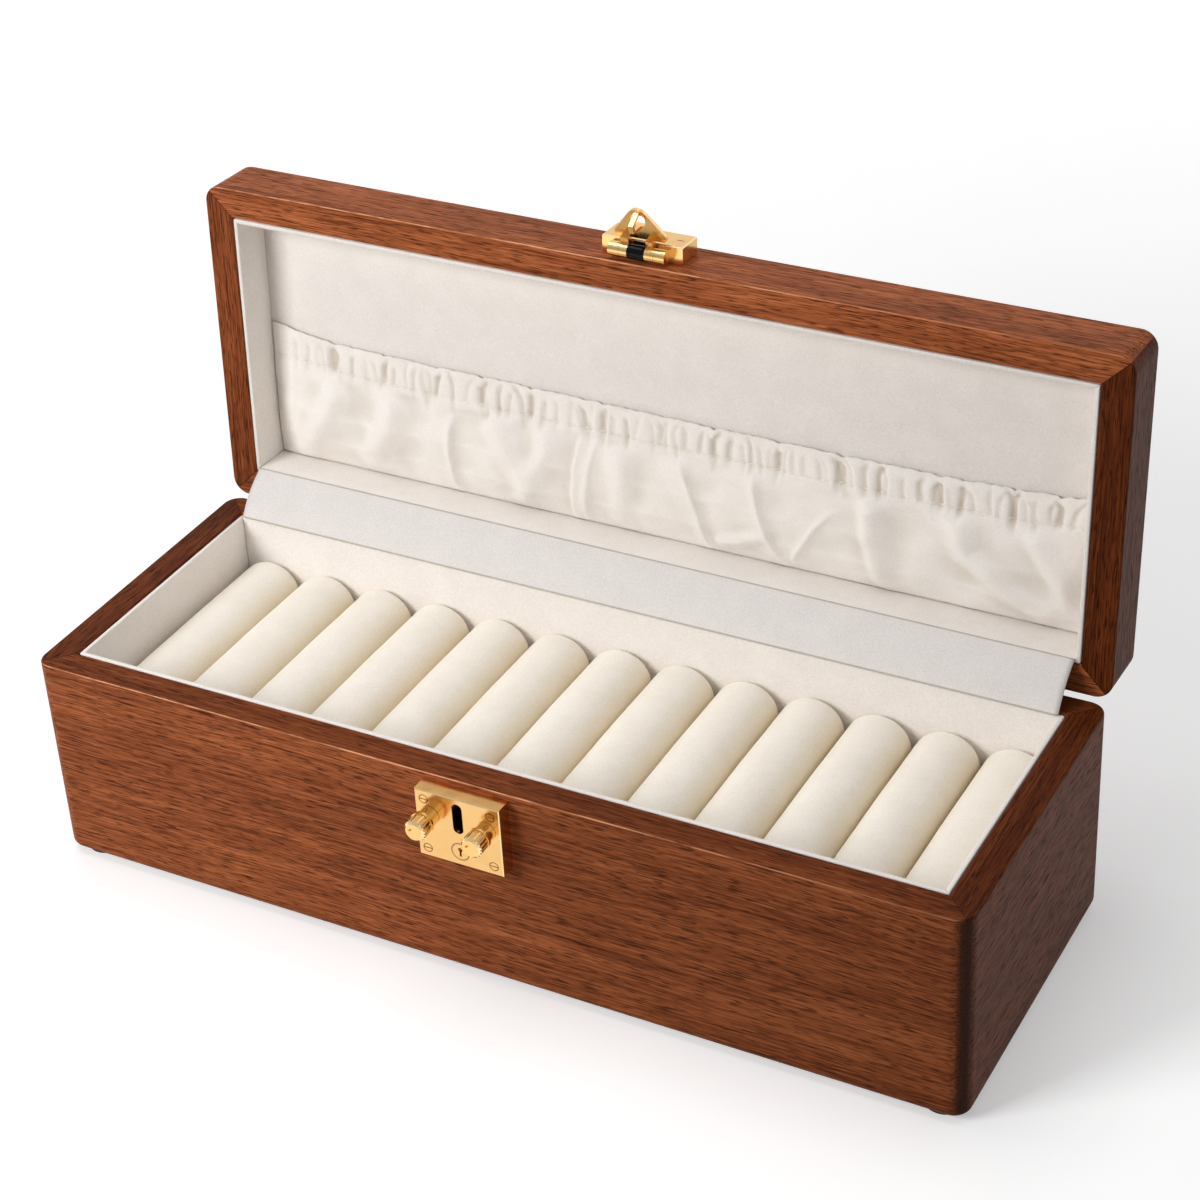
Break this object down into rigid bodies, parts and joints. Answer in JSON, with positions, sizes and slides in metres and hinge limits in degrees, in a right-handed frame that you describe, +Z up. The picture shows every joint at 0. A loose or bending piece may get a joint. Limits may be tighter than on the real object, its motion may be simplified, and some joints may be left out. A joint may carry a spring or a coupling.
{
  "type": "bangle box",
  "caption": "Long wooden bangle box, open: suede-lined base with padded rolls, hinged lid with a gathered pocket, and a brass hasp that locks with turning knobs",
  "frame": {"origin": "on the standing surface, under the middle of the base", "axes": "+X along the box to the right, -Y to the front where the lock is, +Z up"},
  "size_m": [0.33, 0.1638, 0.2149],
  "materials": {
    "base_front_board": "satin_lacquered_hardwood",
    "base_rear_board": "satin_lacquered_hardwood",
    "base_left_board": "satin_lacquered_hardwood",
    "base_right_board": "satin_lacquered_hardwood",
    "base_bottom_panel": "satin_lacquered_hardwood",
    "base_liner_front": "ivory_suede",
    "base_liner_rear": "ivory_suede",
    "base_liner_left": "ivory_suede",
    "base_liner_right": "ivory_suede",
    "base_liner_floor": "ivory_suede",
    "roll_01": "ivory_suede",
    "roll_02": "ivory_suede",
    "roll_03": "ivory_suede",
    "roll_04": "ivory_suede",
    "roll_05": "ivory_suede",
    "roll_06": "ivory_suede",
    "roll_07": "ivory_suede",
    "roll_08": "ivory_suede",
    "roll_09": "ivory_suede",
    "roll_10": "ivory_suede",
    "roll_11": "ivory_suede",
    "roll_12": "ivory_suede",
    "roll_13": "ivory_suede",
    "foot_front_left": "black",
    "foot_front_right": "black",
    "foot_rear_left": "black",
    "foot_rear_right": "black",
    "hinge_ribbon": "grey_suede",
    "hinge_base_leaf_left": "satin_gold",
    "hinge_base_leaf_right": "satin_gold",
    "hinge_pins": "satin_gold",
    "hinge_screws_base": "satin_gold",
    "lock_case": "satin_gold",
    "lock_back_plate": "satin_gold",
    "lock_screws": "satin_gold",
    "lid_front_rail": "satin_lacquered_hardwood",
    "lid_rear_rail": "satin_lacquered_hardwood",
    "lid_left_rail": "satin_lacquered_hardwood",
    "lid_right_rail": "satin_lacquered_hardwood",
    "lid_top_panel": "satin_lacquered_hardwood",
    "lid_liner_front": "ivory_suede",
    "lid_liner_rear": "ivory_suede",
    "lid_liner_left": "ivory_suede",
    "lid_liner_right": "ivory_suede",
    "lid_liner_panel": "ivory_suede",
    "lid_pocket": "ivory_suede",
    "hinge_lid_leaf_left": "satin_gold",
    "hinge_lid_leaf_right": "satin_gold",
    "hinge_screws_lid": "satin_gold",
    "hasp_block": "satin_gold",
    "hasp_block_screws": "satin_gold",
    "hasp_pin": "satin_gold",
    "hasp_sleeve": "black_gloss",
    "hasp_washer": "satin_gold",
    "hasp": "satin_gold",
    "knob_left": "satin_gold",
    "cam_left": "satin_gold",
    "knob_right": "satin_gold",
    "cam_right": "satin_gold",
    "key_plug": "satin_gold"
  },
  "bodies": {
    "base": {"base_front_board": "base_front_board", "base_rear_board": "base_rear_board", "base_left_board": "base_left_board", "base_right_board": "base_right_board", "base_bottom_panel": "base_bottom_panel", "base_liner_front": "base_liner_front", "base_liner_rear": "base_liner_rear", "base_liner_left": "base_liner_left", "base_liner_right": "base_liner_right", "base_liner_floor": "base_liner_floor", "roll_01": "roll_01", "roll_02": "roll_02", "roll_03": "roll_03", "roll_04": "roll_04", "roll_05": "roll_05", "roll_06": "roll_06", "roll_07": "roll_07", "roll_08": "roll_08", "roll_09": "roll_09", "roll_10": "roll_10", "roll_11": "roll_11", "roll_12": "roll_12", "roll_13": "roll_13", "foot_front_left": "foot_front_left", "foot_front_right": "foot_front_right", "foot_rear_left": "foot_rear_left", "foot_rear_right": "foot_rear_right", "hinge_ribbon": "hinge_ribbon", "hinge_base_leaf_left": "hinge_base_leaf_left", "hinge_base_leaf_right": "hinge_base_leaf_right", "hinge_pins": "hinge_pins", "hinge_screws_base": "hinge_screws_base", "lock_case": "lock_case", "lock_back_plate": "lock_back_plate", "lock_screws": "lock_screws"},
    "lid": {"lid_front_rail": "lid_front_rail", "lid_rear_rail": "lid_rear_rail", "lid_left_rail": "lid_left_rail", "lid_right_rail": "lid_right_rail", "lid_top_panel": "lid_top_panel", "lid_liner_front": "lid_liner_front", "lid_liner_rear": "lid_liner_rear", "lid_liner_left": "lid_liner_left", "lid_liner_right": "lid_liner_right", "lid_liner_panel": "lid_liner_panel", "lid_pocket": "lid_pocket", "hinge_lid_leaf_left": "hinge_lid_leaf_left", "hinge_lid_leaf_right": "hinge_lid_leaf_right", "hinge_screws_lid": "hinge_screws_lid", "hasp_block": "hasp_block", "hasp_block_screws": "hasp_block_screws", "hasp_pin": "hasp_pin", "hasp_sleeve": "hasp_sleeve", "hasp_washer": "hasp_washer"},
    "hasp": {"hasp": "hasp"},
    "knob_left": {"knob_left": "knob_left", "cam_left": "cam_left"},
    "knob_right": {"knob_right": "knob_right", "cam_right": "cam_right"},
    "key_plug": {"key_plug": "key_plug"}
  },
  "joints": [
    {"name": "lid_hinge", "type": "hinge", "parent": "base", "child": "lid", "pos_m": [0, 0.0598, 0.078], "axis": [1, 0, 0], "range_deg": [0, 93], "deforming": ["hinge_ribbon"]},
    {"name": "hasp_hinge", "type": "hinge", "parent": "lid", "child": "hasp", "pos_m": [0, 0.06908, 0.19968], "axis": [1, 0, 0], "range_deg": [-17, 73]},
    {"name": "knob_left_turn", "type": "hinge", "parent": "base", "child": "knob_left", "pos_m": [-0.01, -0.065, 0.067], "axis": [0, -1, 0], "range_deg": [0, 90]},
    {"name": "knob_right_turn", "type": "hinge", "parent": "base", "child": "knob_right", "pos_m": [0.01, -0.065, 0.067], "axis": [0, 1, 0], "range_deg": [0, 90]},
    {"name": "key_plug_turn", "type": "hinge", "parent": "base", "child": "key_plug", "pos_m": [0, -0.065, 0.0558], "axis": [0, -1, 0], "range_deg": [0, 90]}
  ]
}
